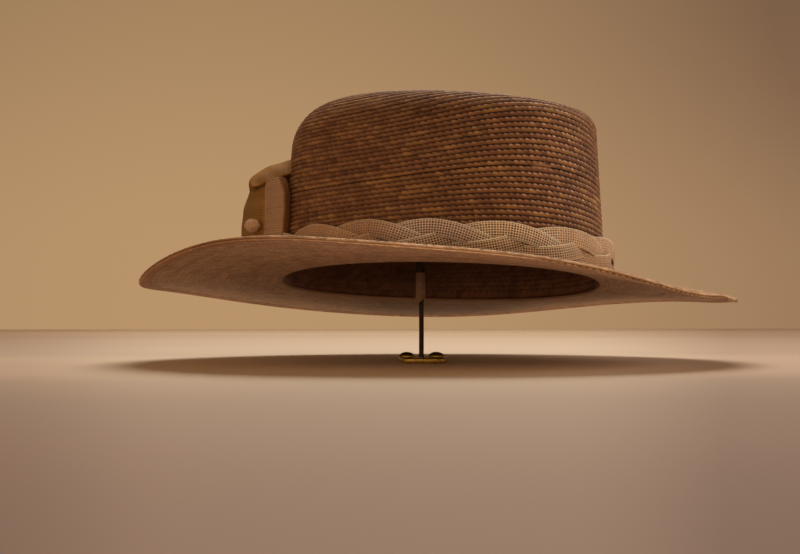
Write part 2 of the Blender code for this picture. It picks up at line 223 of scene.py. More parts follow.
def braidRelief(labels, pattern, share, look):
    # a row rises as sin(pi a)^p, a running up to its edge, which sinks between strands by 1 - sin(pi t^s).
    # Its upper part also sinks at the seams between strands, by 1 - |sin(pi q)|^u
    across = (labels - np.floor(labels))[:, None]
    q = strandNumbers(pattern, np.floor(labels + 1e-9), share[:-1]) + look["slant"] * across
    upper = look["edge"] - look["scallop"] * (1 - np.sin(np.pi * (q - np.floor(q)) ** hat["scallopPower"]))
    body = np.sin(np.pi * np.clip(across / upper, 0, 1)) ** look["roundness"]
    low, high = hat["seamHeight"]
    seam = (1 - np.abs(np.sin(np.pi * q)) ** hat["seamPower"]) * np.clip((across - low) / (high - low), 0, 1)
    return look["rise"] * body * (1 - look["strand"] * seam) - look["sink"]


# Shader building

class Wire:
    # A shader value. The usual operators add Math nodes, with a number or a wire on either side.
    def __init__(self, tree, socket):
        self.tree = tree
        self.socket = socket

    def math(self, operation, *others):
        sockets = dict(enumerate((self,) + others))
        return addNode(self.tree, "ShaderNodeMath", {"operation": operation}, sockets)

    def __add__(self, other):
        return self.math("ADD", other)

    __radd__ = __add__

    def __sub__(self, other):
        return self.math("SUBTRACT", other)

    def __rsub__(self, other):
        return (self * -1) + other

    def __mul__(self, other):
        return self.math("MULTIPLY", other)

    __rmul__ = __mul__

    def __truediv__(self, other):
        return self.math("DIVIDE", other)

    def __pow__(self, other):
        return self.math("POWER", other)

    def floor(self):
        return self.math("FLOOR")

    def sin(self):
        return self.math("SINE")

    def size(self):
        return self.math("ABSOLUTE")

    def rise(self, low, high):
        # smooth step from 0 at low to 1 at high
        return addNode(self.tree, "ShaderNodeMapRange", {"interpolation_type": "SMOOTHSTEP"},
                       {"Value": self, "From Min": low, "From Max": high})

    def fall(self, low, high):
        # smooth step from 1 at low to 0 at high
        return 1 - self.rise(low, high)

    def ease(self, amount):
        # closer to 1: only this amount of the distance from 1 is left
        return 1 - (1 - self) * amount


def addNode(tree, kind, settings, sockets, output=0):
    # one node: its settings first, then its sockets by name or number, from a wire, a number or a colour
    node = tree.nodes.new(kind)
    for name, value in settings.items():
        setattr(node, name, value)
    for name, value in sockets.items():
        if isinstance(value, Wire):
            tree.links.new(value.socket, node.inputs[name])
        else:
            node.inputs[name].default_value = value
    return Wire(tree, node.outputs[output])


class Surface:
    # a material with a Principled shader, and short ways to the nodes that its maths needs
    def __init__(self, name, settings):
        self.material = bpy.data.materials.new(name)
        self.material.use_nodes = True
        self.tree = self.material.node_tree
        self.shader = self.tree.nodes["Principled BSDF"]
        for socket, value in settings.items():
            self.shader.inputs[socket].default_value = value

    def node(self, kind, settings, sockets, output=0):
        return addNode(self.tree, kind, settings, sockets, output)

    def axes(self, vector):
        return [self.node("ShaderNodeSeparateXYZ", {}, {0: vector}, axis) for axis in (0, 1, 2)]

    def uv(self, name):
        return self.axes(self.node("ShaderNodeUVMap", {"uv_map": name}, {}))[:2]

    def place(self):
        # Object coordinates in millimetres
        return self.shade(self.node("ShaderNodeTexCoord", {}, {}, "Object"), 1000)

    def xyz(self):
        return self.axes(self.place())

    def hatHeight(self):
        # height over the head opening in the hat's own frame
        x, y, z = self.xyz()
        toward = hatTurn()[:, 2]
        return (x - hat["centreX"]) * toward[0] + y * toward[1] + (z - hat["openingHeight"]) * toward[2]

    def point(self, x=0, y=0, z=0):
        return self.node("ShaderNodeCombineXYZ", {}, {0: x, 1: y, 2: z})

    def noise(self, vector, scale=1, detail=2, rough=0.5):
        return self.node("ShaderNodeTexNoise", {"noise_dimensions": "3D"},
                         {"Vector": vector, "Scale": scale, "Detail": detail, "Roughness": rough})

    def chance(self, vector):
        # an even random number for each different vector
        return self.node("ShaderNodeTexWhiteNoise", {"noise_dimensions": "3D"}, {"Vector": vector})

    def mix(self, share, first, second):
        # the node keeps the share between 0 and 1
        return self.node("ShaderNodeMix", {"data_type": "RGBA"}, {0: share, 6: first, 7: second}, 2)

    def vector(self, operation, first, second=(0, 0, 0), output=0):
        return self.node("ShaderNodeVectorMath", {"operation": operation}, {0: first, 1: second}, output)

    def shade(self, colour, amount):
        # the colour or vector times a number
        return self.node("ShaderNodeVectorMath", {"operation": "SCALE"}, {0: colour, "Scale": amount})

    def paint(self, colour, roughness=None, height=None, distance=0):
        self.tree.links.new(colour.socket, self.shader.inputs["Base Color"])
        if roughness is not None:
            self.tree.links.new(roughness.socket, self.shader.inputs["Roughness"])
        if height is not None:
            bump = self.node("ShaderNodeBump", {}, {"Height": height, "Distance": distance})
            self.tree.links.new(bump.socket, self.shader.inputs["Normal"])
        return self.material


def rgb(red, green, blue):
    # a colour as picked on screen, 0 to 255, made linear
    return tuple((c / 255 / 12.92) if c <= 10 else ((c / 255 + 0.055) / 1.055) ** 2.4
                 for c in (red, green, blue)) + (1,)


# Straw braid: rows numbered by the uv map's second value, slanting strands by its first

brownStraw = {
    "base": rgb(132, 90, 63), "gold": rgb(164, 124, 74), "highlightColour": rgb(222, 190, 172),
    "dark": rgb(102, 63, 44), "gap": rgb(48, 23, 10), "golden": 0.72, "highlightStrength": 0.95, "gapLight": 0.04,
    "seamLight": 0.35, "edge": 1.04, "ragged": 0.30, "scallop": 0.21, "slant": 0.5, "uneven": 0.9,
    "bump": 0.0006, "roughness": 0.62,
    "fadeBack": (-30, 95),      # mm from the back to the front over which the painted highlights come out
}
insideStraw = dict(brownStraw, base=rgb(128, 86, 58), gold=rgb(138, 92, 60), highlightColour=rgb(144, 102, 74),
                   dark=rgb(98, 64, 46), ragged=0, gapLight=0.6, seamLight=0.8, golden=0.4, highlightStrength=0.2,
                   fadeBack=(-900, -800))
paleStraw = {
    "base": rgb(186, 148, 118), "gold": rgb(196, 156, 114), "highlightColour": rgb(206, 172, 144),
    "dark": rgb(158, 120, 92), "gap": rgb(104, 72, 50), "golden": 0.5, "highlightStrength": 0.4, "gapLight": 0.4,
    "seamLight": 0.8, "edge": 1, "ragged": 0.1, "scallop": 0.12, "slant": 0.85,
    "bump": 0.0002, "roughness": 0.75,
}
underStraw = dict(paleStraw, gapLight=0.62, farLightTint=(1.07, 1.18, 1.28, 1), nearLightTint=(1.69, 1.99, 2.52, 1),
                  farShade=0.38)
edgeStraw = dict(paleStraw, gold=rgb(240, 194, 118), highlightColour=rgb(226, 186, 150), gap=rgb(64, 36, 20),
                 shadedTone=rgb(178, 134, 100), cream=rgb(244, 206, 176), gapLight=0.05, seamLight=0.7, edge=1.16,
                 ragged=0.2, bump=0.0003, golden=1)
rimStraw = dict(paleStraw, base=rgb(246, 212, 182), gold=rgb(232, 186, 122), highlightColour=rgb(250, 224, 200),
                dark=rgb(206, 166, 134), shadedTone=rgb(160, 116, 74), gapLight=0.8, seamLight=0.5, bump=0.0004)

# stains and pale marks: centre and radii in mm, strength, colour
strawSpots = {
    "tip": (((187, -45, 38.3), (8, 20, 4), 0.75, rgb(150, 92, 56)),),
    "inside": (((-32, 80, 54), (5, 5, 5), 0.8, rgb(24, 14, 8)),),
    "outside": (((65.2, -62.8, 117.2), (9, 9, 1.5), 0.8, rgb(196, 154, 122)),
                ((68.9, -60.7, 119.2), (3, 3, 1.2), 0.9, rgb(40, 22, 12))),
}


def underPaintedLight(surface, look, colour):
    # painted bounce light, paler and less orange towards the near side, and painted shade about the middle of
    # the far side
    x, y, z = surface.xyz()
    near = y.fall(-140, 0) * x.rise(-150, -50)
    colour = surface.vector("MULTIPLY", colour, surface.mix(near, look["farLightTint"], look["nearLightTint"]))
    middle = x.rise(-70, 10) * x.fall(60, 130) * y.rise(60, 140)
    return surface.shade(colour, 1 - middle * look["farShade"])


def spotted(surface, spots, colour, fibre):
    # soft spots, by the length of (place - centre) / radii
    for centre, radii, strength, spotColour in spots:
        away = surface.vector("DIVIDE", surface.vector("SUBTRACT", surface.place(), centre), radii)
        share = surface.vector("LENGTH", away, output=1).fall(0.6, 1) * (0.6 + fibre * 0.6) * strength
        colour = surface.mix(share, colour, spotColour)
    return colour


def strawMaterial(name, look, spots=()):
    # row and across are the whole and the rest of the row label, strand and inStrand (t) those of the strand
    # number q, which slants with across
    surface = Surface(name, {"Roughness": look["roughness"], "IOR": 1.45})
    x, y, z = surface.xyz()
    along, label = surface.uv("braid")
    row = label.floor()
    across = label - row
    q = along + across * look["slant"]
    if "uneven" in look:
        q = q + (surface.noise(surface.point(along * 0.3, row * 3.1), detail=1) - 0.5) * look["uneven"]
    strand = q.floor()
    inStrand = q - strand
    fibre = surface.noise(surface.point(q * 6, label * 1.6, row * 3.7), detail=3, rough=0.65)
    speck = surface.noise(surface.point(q * 3, label * 5, row * 1.9), rough=0.6)
    stretch = surface.noise(surface.point(along * 0.22, row * 5.3))
    patch = surface.noise(surface.place(), 0.03)
    strandLuck = surface.chance(surface.point(strand, row))
    rowLuck = surface.chance(surface.point(row, 11))
    # a row's ragged upper edge sinks between strands by 1 - sin(pi t^s); seams are 1 - |sin(pi q)|^u
    ruffle = surface.noise(surface.point(q * 2.6, row * 2.3), rough=0.6)
    scallop = 1 - (inStrand ** hat["scallopPower"] * math.pi).sin()
    upper = look["edge"] - scallop * look["scallop"] - ruffle * look["ragged"] + (stretch - 0.5) * 0.12
    seam = (1 - (q * math.pi).sin().size() ** hat["seamPower"]) * across.rise(*hat["seamHeight"])
    # the lower half of a row is smoother and more golden, in stretches along it
    low = across.rise(0.05, 0.25) * across.fall(0.45, 0.75)
    golden = stretch.rise(0.46, 0.62) * (0.45 + low * 0.4) + strandLuck.rise(0.78, 0.95) * 0.35 + low * 0.2
    if "cream" in look:
        # the edge row is golden near its outer side, which is cream but for the front right
        outermost = across.rise(0.84, 0.9) * x.fall(30, 75)
        golden = across.rise(0.74, 0.8) * (0.3 + stretch.rise(0.4, 0.58) * 0.7) * (1 - outermost)
    colour = surface.mix(golden * look["golden"], look["base"], look["gold"])
    brown = patch.rise(0.45, 0.66) * 0.35 + rowLuck.rise(0.55, 1) * 0.35 + strandLuck.fall(0, 0.2) * 0.3
    colour = surface.mix(brown, colour, look["dark"])
    if "cream" in look:
        colour = surface.mix(outermost, colour, look["cream"])
    # painted highlight along the upper edge of each strand, where the light catches it
    paintedHighlight = (across - upper).rise(-0.50, -0.25) * inStrand.fall(0.5, 0.85) * inStrand.rise(0.06, 0.22)
    paintedHighlight = paintedHighlight * (0.4 + strandLuck * 0.6) * (speck.rise(0.35, 0.6) * 0.7 + 0.3) * look["highlightStrength"]
    if "fadeBack" in look:
        forward = x.rise(*look["fadeBack"])
        paintedHighlight = paintedHighlight * (0.22 + forward * 0.78)
    colour = surface.mix(paintedHighlight, colour, look["highlightColour"])
    # painted groove shade above each row's scalloped edge, filled with light straw in places, and at the
    # seams
    solid = across.rise(-0.03, 0.10) * (across - upper).fall(-0.12, 0)
    pale = surface.noise(surface.point(q * 0.8, label.math("ROUND") * 3.3), detail=1).fall(0.38, 0.56)
    filled = look["gapLight"] + pale * (0.4 - x.rise(0, 60) * 0.35)
    closed = (filled + solid * (1 - filled)) * (1 - seam * (1 - look["seamLight"]))
    # painted light and shade: the groove shade fades towards the back, and the straw is painted 10 % lighter
    # at the back, 5 % darker about the middle, 23 % lighter at the front, and darker on the tip
    if "fadeBack" in look:
        closed = closed.ease(0.2 + x.rise(-80, 35) * 0.7 + forward * 0.1)
        top = z.rise(140, 156) * x.fall(40, 100)
        light = 1.10 - x.rise(-90, -30) * 0.15 + x.rise(0, 80) * 0.28 - top * 0.14
        colour = surface.shade(colour, light)
    if "shadedTone" in look:
        # painted light: the rim is bright on the near side, from the bow forwards, and has a dull, even
        # painted shaded tone elsewhere; its painted groove shade shows on the front right
        paintedLit = x.rise(-130, -20) * y.fall(-70, 10)
        colour = surface.mix(paintedLit, look["shadedTone"], colour)
        closed = closed.ease(paintedLit * (0.15 + x.rise(30, 75) * 0.85))
    colour = surface.shade(colour, (0.72 + fibre * 0.56) * (0.84 + strandLuck * 0.32))
    colour = surface.mix(closed, look["gap"], colour)
    if "nearLightTint" in look:
        colour = underPaintedLight(surface, look, colour)
    colour = spotted(surface, spots, colour, fibre)
    height = solid * 0.6 + (1 - seam) * 0.3 + fibre * 0.4 + speck * 0.2
    rough = look["roughness"] + (fibre - 0.5) * 0.25
    return surface.paint(colour, rough, height, look["bump"])


# Crown: the wall, a quarter circle over the shoulder and a nearly flat tip, along each direction

crown = {
    "wall": 2, "inset": 0.6, "taperLength": 0.062, "taperWidth": 0.056, "shiftX": 0.8, "lean": 0.004,
    "footHeight": 2,        # where the wall starts, over the head opening
    "edgeHeight": 107, "edgeWaves": ((1, 0.7, 0.3), (2, 1.6, 1.6), (3, 0, 0.8)), "tipHeight": 108.5,
    "shoulder": 20, "shoulderChange": 9, "sharpest": -40,
    # rows a mm, each with its cosines round the crown
    "rowStart": 0.343, "rowsUp": (0.391, -0.068, 0.031, 0.017, -0.007),
    "rowsBend": (-0.140, 0.099, -0.077, -0.001, 0.006), "rowsClose": (0.094, -0.078, 0.057),
    "rowCount": 64, "tipPitch": 2.8,
    # name, first row, last row, columns
    "pieces": (("crown_lower", 3, 19, 800), ("crown_upper", 19, 35, 800), ("crown_tip", 35, 63, 560)),
    "lines": (0, 0.16, 0.40, 0.64, 0.84), "profileSteps": 480, "thickness": 1.7, "footStart": 0.3,
    "relief": {"rise": 1, "sink": 0.7, "roundness": 0.5, "strand": 0.16, "scallop": 0.13, "slant": 0.5,
               "edge": 1},
}


def wallPoint(angle, height):
    # the head opening's oval, grown by the wall, which tapers and leans with height
    grow = crown["wall"] + crown["inset"]
    x, y = oval(hat["openingHalfLength"] + grow - crown["taperLength"] * height,
                hat["openingHalfWidth"] + grow - crown["taperWidth"] * height, angle)
    return np.stack([x + crown["shiftX"] + crown["lean"] * height, y, height + 0 * angle], -1)


def wallNormal(angle, height):
    # level, square to the step from just before the direction to just after it
    run = wallPoint(angle + 0.002, height) - wallPoint(angle - 0.002, height)
    return unit(np.stack([run[..., 1], -run[..., 0], 0 * run[..., 0]], -1))


def crownProfile(angle):
    # points up the wall, round the shoulder and over the tip to its middle, steps x directions x 3
    share = np.linspace(0, 1, crown["profileSteps"] // 3)[:, None]
    radius = crown["shoulder"] - crown["shoulderChange"] * np.cos(angle - math.radians(crown["sharpest"]))
    base = hat["openingSag"] * np.cos(2 * angle) + crown["footHeight"]
    top = crown["edgeHeight"] + waves(crown["edgeWaves"], angle) - radius
    wall = wallPoint(angle, base + share * (top - base))
    over = share[1:, :, None]
    turn = over * math.pi / 2
    inward = -wallNormal(angle, top) * (radius[:, None] * (1 - np.cos(turn)))
    bend = wallPoint(angle, top) + inward + np.array([0, 0, 1]) * radius[:, None] * np.sin(turn)
    last = bend[-1]
    tip = last + (np.array([0, 0, crown["tipHeight"]]) - last) * over
    tip[..., 2] = last[:, 2] + (crown["tipHeight"] - last[:, 2]) * np.sin(turn[..., 0])
    return np.concatenate([wall, bend, tip]), top


def crownLabels(profile, angle, top):
    # row label: a cubic in the way up the profile, whose three factors are cosine sums round the crown, and
    # past the wall a smooth cubic to the same count at the middle of the tip
    def rows(way):
        up, bend, close = [sum(c * np.cos(n * angle) for n, c in enumerate(crown[key]))
                           for key in ("rowsUp", "rowsBend", "rowsClose")]
        return crown["rowStart"] + way * up + way ** 2 / 100 * bend + way ** 3 / 10000 * close

    way = wayAlong(profile) + profile[0, :, 2]
    whole = way[-1] - top
    t = np.clip((way - top) / whole, 0, 1)
    gain = crown["rowCount"] - rows(top)
    slopeIn, slopeOut = whole * (rows(top + 0.5) - rows(top - 0.5)), whole / crown["tipPitch"]
    cubic = slopeIn * t * (1 - t) ** 2 + gain * t * t * (3 - 2 * t) - slopeOut * t * t * (1 - t)
    return np.where(way < top, rows(way), rows(top) + cubic)


def buildCrown(outside, inside):
    # three closed shells on top of each other: relief outside, one line for each row inside
    for name, first, last, around in crown["pieces"]:
        angle = turns(around, -math.pi)
        profile, top = crownProfile(angle)
        labels = np.maximum.accumulate(crownLabels(profile, angle, top), axis=0)
        lines = reliefLines(first, last, crown["lines"])
        outer = resample(labels, profile, lines)
        share = roundTrip(outer[len(outer) // 2])
        pattern = braidPattern(outer, lines)
        outer = outer + gridNormals(outer) * braidRelief(lines, pattern, share, crown["relief"])[..., None]
        inLines = lines[::-len(crown["lines"])]
        inner = resample(labels, profile, inLines)      # from the last row down, so its normals point inwards
        inner = inner + gridNormals(inner) * crown["thickness"]
        if name == "crown_lower":
            # down to the brim
            foot = profile[0]
            footIn = foot - wallNormal(angle, foot[:, 2]) * crown["thickness"]
            outer, inner = np.concatenate([foot[None], outer]), np.concatenate([inner, footIn[None]])
            lines, inLines = np.append(lines[0] - 1, lines), np.append(inLines, inLines[-1] - 1)
            pattern[first - 1] = (pattern[first][0], crown["footStart"])
        outUv, inUv = braidUv(lines, pattern, share), braidUv(inLines, pattern, share)
        blank = np.full((1, around, 4, 2), 0.5)
        if name == "crown_tip":
            section, cells = [inner, outer], [inUv, blank, outUv]
            rowMaterials = [1] * (len(inner) - 1) + [0] * len(outer) + [1, 0]
        else:
            section, cells = [outer, inner], [outUv, blank, inUv, blank]
            rowMaterials = [0] * len(outer) + [1] * (len(inner) - 1) + [0]
        points = hatToWorld(np.concatenate(section))
        poles = middles(points) if name == "crown_tip" else ()
        piece = gridPiece(name, points, np.concatenate(cells), poles=poles)
        finishPiece(piece, "crown", (outside, inside), np.repeat(rowMaterials, around))


# Brim: from the head opening to a waved rim, rows of braid on both faces

brimRelief = {"roundness": 0.8, "slant": 0.85, "edge": 1}
brim = {
    "rimHalfLength": 184.2, "rimHalfWidth": 164, "rimShiftX": -1.7, "rimHeight": -3.1,
    "rimWaves": ((1, -2.6, 6.3), (2, -0.9, 5.8), (3, 2.3, 2.9), (4, -1, 0.2), (5, 1, 0.3), (6, 0, -0.8)),
    "rimBends": ((-33, 8.5, 2.3), (6, 13, -1.5)),     # direction, spread in degrees, rise in mm
    "rimTurns": (-50, 0, 50), "rimOut": 0.4, "rimLobe": 0.25, "rimRagged": 0.28,
    "rimRows": (0.75, 0.6, 0.5, 0.4, 0.25),           # rows down from the last one, for the rim's lines
    "thickness": 1.7, "curve": 1.2, "rows": 27, "around": 560, "lines": (0, 0.30, 0.70),
    "over": dict(brimRelief, rise=0.55, sink=0.30, strand=0.3, scallop=0.12),
    "under": dict(brimRelief, rise=0.24, sink=0.18, strand=0.2, scallop=0.1),
}


def brimPoint(angle, share, outset=0):
    # underside of the brim: share 0 is the head opening, share 1 the rim, height following share^curve
    x, y = oval(hat["openingHalfLength"], hat["openingHalfWidth"], angle)
    inner = np.stack([x, y, hat["openingSag"] * np.cos(2 * angle)], -1)
    height = brim["rimHeight"] + waves(brim["rimWaves"], angle)
    for direction, spread, rise in brim["rimBends"]:
        away = (np.degrees(angle) - direction + 180) % 360 - 180
        height = height + rise * np.exp(-(away / spread) ** 2)
    outer = np.stack([(brim["rimHalfLength"] + outset) * np.cos(angle) + brim["rimShiftX"],
                      (brim["rimHalfWidth"] + outset) * np.sin(angle), height], -1)
    point = inner + (outer - inner) * share[..., None]
    point[..., 2] = inner[:, 2] + (outer[:, 2] - inner[:, 2]) * share ** brim["curve"]
    return point


def buildBrim(overMaterial, underMaterial, rimMaterial):
    # one closed section: out along the underside, round the rim's edge and back along the upper side
    angle, rows = turns(brim["around"], -math.pi), brim["rows"]
    lines = reliefLines(0, rows, brim["lines"])
    sheet = brimPoint(angle, lines[:, None] / rows)
    up = gridNormals(sheet)
    up = up * np.sign(up[..., 2:3])
    share = roundTrip(sheet[-1])
    pattern = braidPattern(sheet, lines)
    over = sheet + up * (brim["thickness"] + braidRelief(lines, pattern, share, brim["over"]))[..., None]
    under = sheet - up * braidRelief(lines, pattern, share, brim["under"])[..., None]
    out = unit((over[-1] - sheet[-2]) * np.array([1, 1, 0]))
    half = brim["thickness"] / 2
    middle = (over[-1] + under[-1]) / 2 - out * half
    rim = np.stack([middle + out * half * (brim["rimOut"] + math.cos(t)) + up[-1] * half * math.sin(t)
                    for t in np.radians(brim["rimTurns"])])
    lobes = np.sin(pattern[rows - 1][0] * 2 * math.pi * share[:-1])
    ragged = brim["rimLobe"] * lobes + brim["rimRagged"] * rng.randn(len(angle))
    rim[1] = rim[1] + out * ragged[:, None]
    rimLines = rows - np.array(brim["rimRows"])
    cells = [braidUv(labels, pattern, share) for labels in (lines, rimLines, lines[::-1])]
    cells.append(np.full((1, len(angle), 4, 2), 0.5))
    section = np.concatenate([under, rim, over[::-1]])
    piece = gridPiece("brim_braid", hatToWorld(section), np.concatenate(cells), flip=True)
    rowMaterials = [1] * (len(under) - 1) + [2] * (len(rim) + 1) + [0] * len(over)
    finishPiece(piece, "brim", (overMaterial, underMaterial, rimMaterial),
                np.repeat(rowMaterials, len(angle)))


edge = {"width": 7, "thickness": 1.4, "overhang": 0.4, "gap": -0.25, "around": 980, "sides": 16, "lobe": 0.16,
        "ragged": 0.16, "firstSide": 0.12 * math.pi, "start": 0.2}


def buildBrimEdge(material):
    # a strip sewn under the rim: a flat oval section, by powers of cosine and sine, that thins towards its
    # inner edge and is carried round the rim, with strands that bulge its outer side
    angle = turns(edge["around"], -math.pi)
    inner, outer = brimPoint(angle, np.array([[0], [1]]), edge["overhang"])
    share = 1 - edge["width"] / np.linalg.norm(outer - inner, axis=1)
    back = brimPoint(angle, share[None], edge["overhang"])[0]
    middle, across = (outer + back) / 2, unit(outer - back)
    half = np.linalg.norm(outer - back, axis=1, keepdims=True) / 2
    up = np.cross(across, unit(closedStep(middle)))
    up = up * np.sign(up[:, 2:3])
    share = roundTrip(middle)
    count = int(round(wayAlong(middle)[-1] / hat["lobeLength"]))
    bulge = edge["lobe"] * np.abs(np.sin(np.pi * count * share[:-1]))[:, None]
    ragged = (edge["ragged"] * rng.randn(len(angle)))[:, None]
    section = []
    for turn in turns(edge["sides"], edge["firstSide"]):
        reach = np.sign(math.cos(turn)) * abs(math.cos(turn)) ** 0.5
        tall = 0.5 + 0.5 * np.sign(math.sin(turn)) * abs(math.sin(turn)) ** 0.7
        thick = edge["thickness"] * (0.5 + 0.5 * reach) ** 0.6
        outward = max(0, reach)
        section.append(middle + across * (half * reach + (bulge + ragged) * outward ** 2)
                       - up * (edge["gap"] + (thick + bulge * outward) * (1 - tall)))
    cells = braidUv(np.linspace(0, 1, edge["sides"] + 1), {0: (count, edge["start"])}, share)
    piece = gridPiece("brim_edge_braid", hatToWorld(np.stack(section)), cells)
    finishPiece(piece, "brim_edge", (material,))


# Band: three gauze tapes, each a sine up the wall and twice as fast out from it

band = {
    "strands": 3, "periods": 5, "centreHeight": 13.4, "start": -28, "swing": 6.6, "depth": 2,
    "standoff": 2.9, "frontStandoff": 1.5, "width": 10.4, "thickness": 0.62, "selvedge": 0.14, "crown": 0.45,
    "across": (-1, -0.94, -0.82, -0.45, 0, 0.45, 0.82, 0.94, 1),      # places over half the width
    "wefts": 380, "stepsPerWeft": 4, "threads": 7, "serration": 0.16, "drift": 24, "driftAt": -95,
}
plainTape = {"roughness": 0.72, "bump": 0.0004}
bandTape = dict(plainTape, thread=rgb(254, 242, 230), weft=rgb(240, 216, 194), hole=rgb(60, 36, 22),
                selvedge=rgb(255, 246, 232), openLeft=(-60, 0), openRight=(60, 95), paintedLit=(45, 85),
                low=(7, 20), lowTint=(0.66, 0.57, 0.47, 1), litHighTint=(1.06, 1.05, 1.05, 1),
                tints=(rgb(203, 181, 162), (-40, -12, rgb(237, 232, 234)), (14, 32, rgb(255, 252, 246)),
                       (72, 92, rgb(240, 228, 216))))


def evenAngles(count):
    # directions that divide the band's middle line into equal lengths
    fine = np.linspace(0, 2 * math.pi, 4001)
    way = wayAlong(wallPoint(fine, band["centreHeight"]))
    return np.interp(np.arange(count) / count * way[-1], way, fine)


def tapeSection():
    # across and lift of the points round a tape's section: a thin crowned sheet with thicker selvedges
    across = np.array(band["across"])
    half = band["thickness"] / 2 + band["selvedge"] * (np.abs(across) > 0.9)
    half[[0, -1]] = 0
    lift = band["crown"] * (1 - across ** 2)
    outer = np.stack([across, lift + half], -1)
    inner = np.stack([across, lift - half], -1)[-2:0:-1]
    return np.concatenate([outer, inner])


def buildStrand(number, material):
    steps = band["wefts"] * band["stepsPerWeft"]
    angle = evenAngles(steps)
    # the plait is drawn back a little on the right side, by the fourth power of a cosine round the crown
    drift = np.maximum(0, np.cos(angle - math.radians(band["driftAt"]))) ** 4
    phase = 2 * math.pi * (band["periods"] * np.arange(steps) / steps + (number - 1) / band["strands"])
    phase = phase + np.radians(band["start"] + band["drift"] * drift)
    height = band["centreHeight"] + band["swing"] * np.sin(phase)
    standoff = band["standoff"] + band["frontStandoff"] * np.maximum(0, np.cos(angle)) ** 2
    out = wallNormal(angle, height)
    middle = wallPoint(angle, height) + out * (standoff - band["depth"] * np.sin(2 * phase))[:, None]
    run = unit(closedStep(middle))
    across = unit(np.cross(out, run))
    lift = np.cross(run, across)
    # each weft's loop stands out a little at the selvedges
    counts = np.arange(steps + 1) / band["stepsPerWeft"]
    loop = 1 + band["serration"] / (band["width"] / 2) * np.cos(2 * math.pi * counts[:-1])
    reach, rise = tapeSection().T[..., None]
    wide = reach * band["width"] / 2 * np.where(np.abs(reach) > 0.9, loop, 1)
    points = middle + across * wide[..., None] + lift * rise[..., None]
    label = (np.append(reach, reach[0]) + 1) / 2 * band["threads"]
    piece = gridPiece("band_tape_%d" % number, hatToWorld(points), cellUv(counts, label), "weave", flip=True)
    finishPiece(piece, "band_strand_%d" % number, (material,))


def tapeMaterial(name, look, threads):
    # open weave: threads at whole labels, wefts at whole counts, dark square holes between them, painted as
    # what lies behind them in the tape's shade
    surface = Surface(name, {"Roughness": look["roughness"], "IOR": 1.4})
    x, y, z = surface.xyz()
    weft, thread = surface.uv("weave")
    across = thread / threads
    solid = ((across - 0.5).size() * 2).rise(0.80, 0.90)
    weftLuck = surface.chance(surface.point(weft.floor(), 3))
    drift = surface.noise(surface.place(), 0.12, 2, 0.6)
    fuzz = surface.noise(surface.place(), 2.2, 3, 0.7)
    hole = (thread * math.pi).sin().size().rise(0.4, 0.75) * (weft * math.pi).sin().size().rise(0.35, 0.75)
    hole = hole * (1 - solid) * (0.75 + drift * 0.4)
    checker = ((weft + thread.floor()) * math.pi).sin() * 0.5 + 0.5
    colour = surface.mix(checker, look["thread"], look["weft"])
    selvedge = look["selvedge"]
    if "low" in look:
        # painted shade: a tape is darker and browner towards the brim and towards its own lower selvedge,
        # less so at the front, and painted light makes its near front lighter; its holes are paler at the
        # back and at the near front
        near = y.fall(-40, 50)
        hole = hole * (0.45 + x.rise(*look["openLeft"]) * 0.55)
        hole = hole * (1 - x.rise(*look["openRight"]) * near * 0.5)
        forward = x.rise(*look["paintedLit"]) * near
        upward = across.rise(0.1, 0.7).ease(1 - forward * 0.8)
        lifted = surface.hatHeight().rise(*look["low"]).ease(1 - forward * 0.5)
        colour = surface.vector("MULTIPLY", colour, surface.mix(lifted, look["lowTint"], look["litHighTint"]))
        light = 0.9 + (x.rise(5, 45) * lifted * 0.14 + 0.1) * near - forward * 0.1
        colour = surface.shade(colour, (0.8 + upward * 0.2) * light)
        selvedge = surface.shade(selvedge[:3], 0.6 + upward * 0.4)
    colour = surface.mix(solid, colour, selvedge)
    colour = surface.mix(hole, colour, look["hole"])
    if "tints" in look:
        # the tapes' colour changes from the back of the hat to the front, in a few soft steps: partly their
        # own colour, partly painted shade that is deepest at the back
        tint = look["tints"][0]
        for start, end, following in look["tints"][1:]:
            tint = surface.mix(x.rise(start, end), tint, following)
        colour = surface.vector("MULTIPLY", colour, tint)
    # painted fold shade: past this share across, the tape takes the shaded colour of the fold
    if "fold" in look:
        colour = surface.mix(across.rise(*look["fold"]), colour, look["foldShadeColour"])
    colour = surface.shade(colour, (0.88 + fuzz * 0.24) * (0.92 + weftLuck * 0.16) * (0.9 + drift * 0.2))
    height = (1 - hole) * 0.7 + checker * 0.2 + fuzz * 0.15
    return surface.paint(colour, look["roughness"] + (fuzz - 0.5) * 0.2, height, look["bump"])


# Bow: the same tape, folded upright; tables are in the hat's frame, and side -1 mirrors them

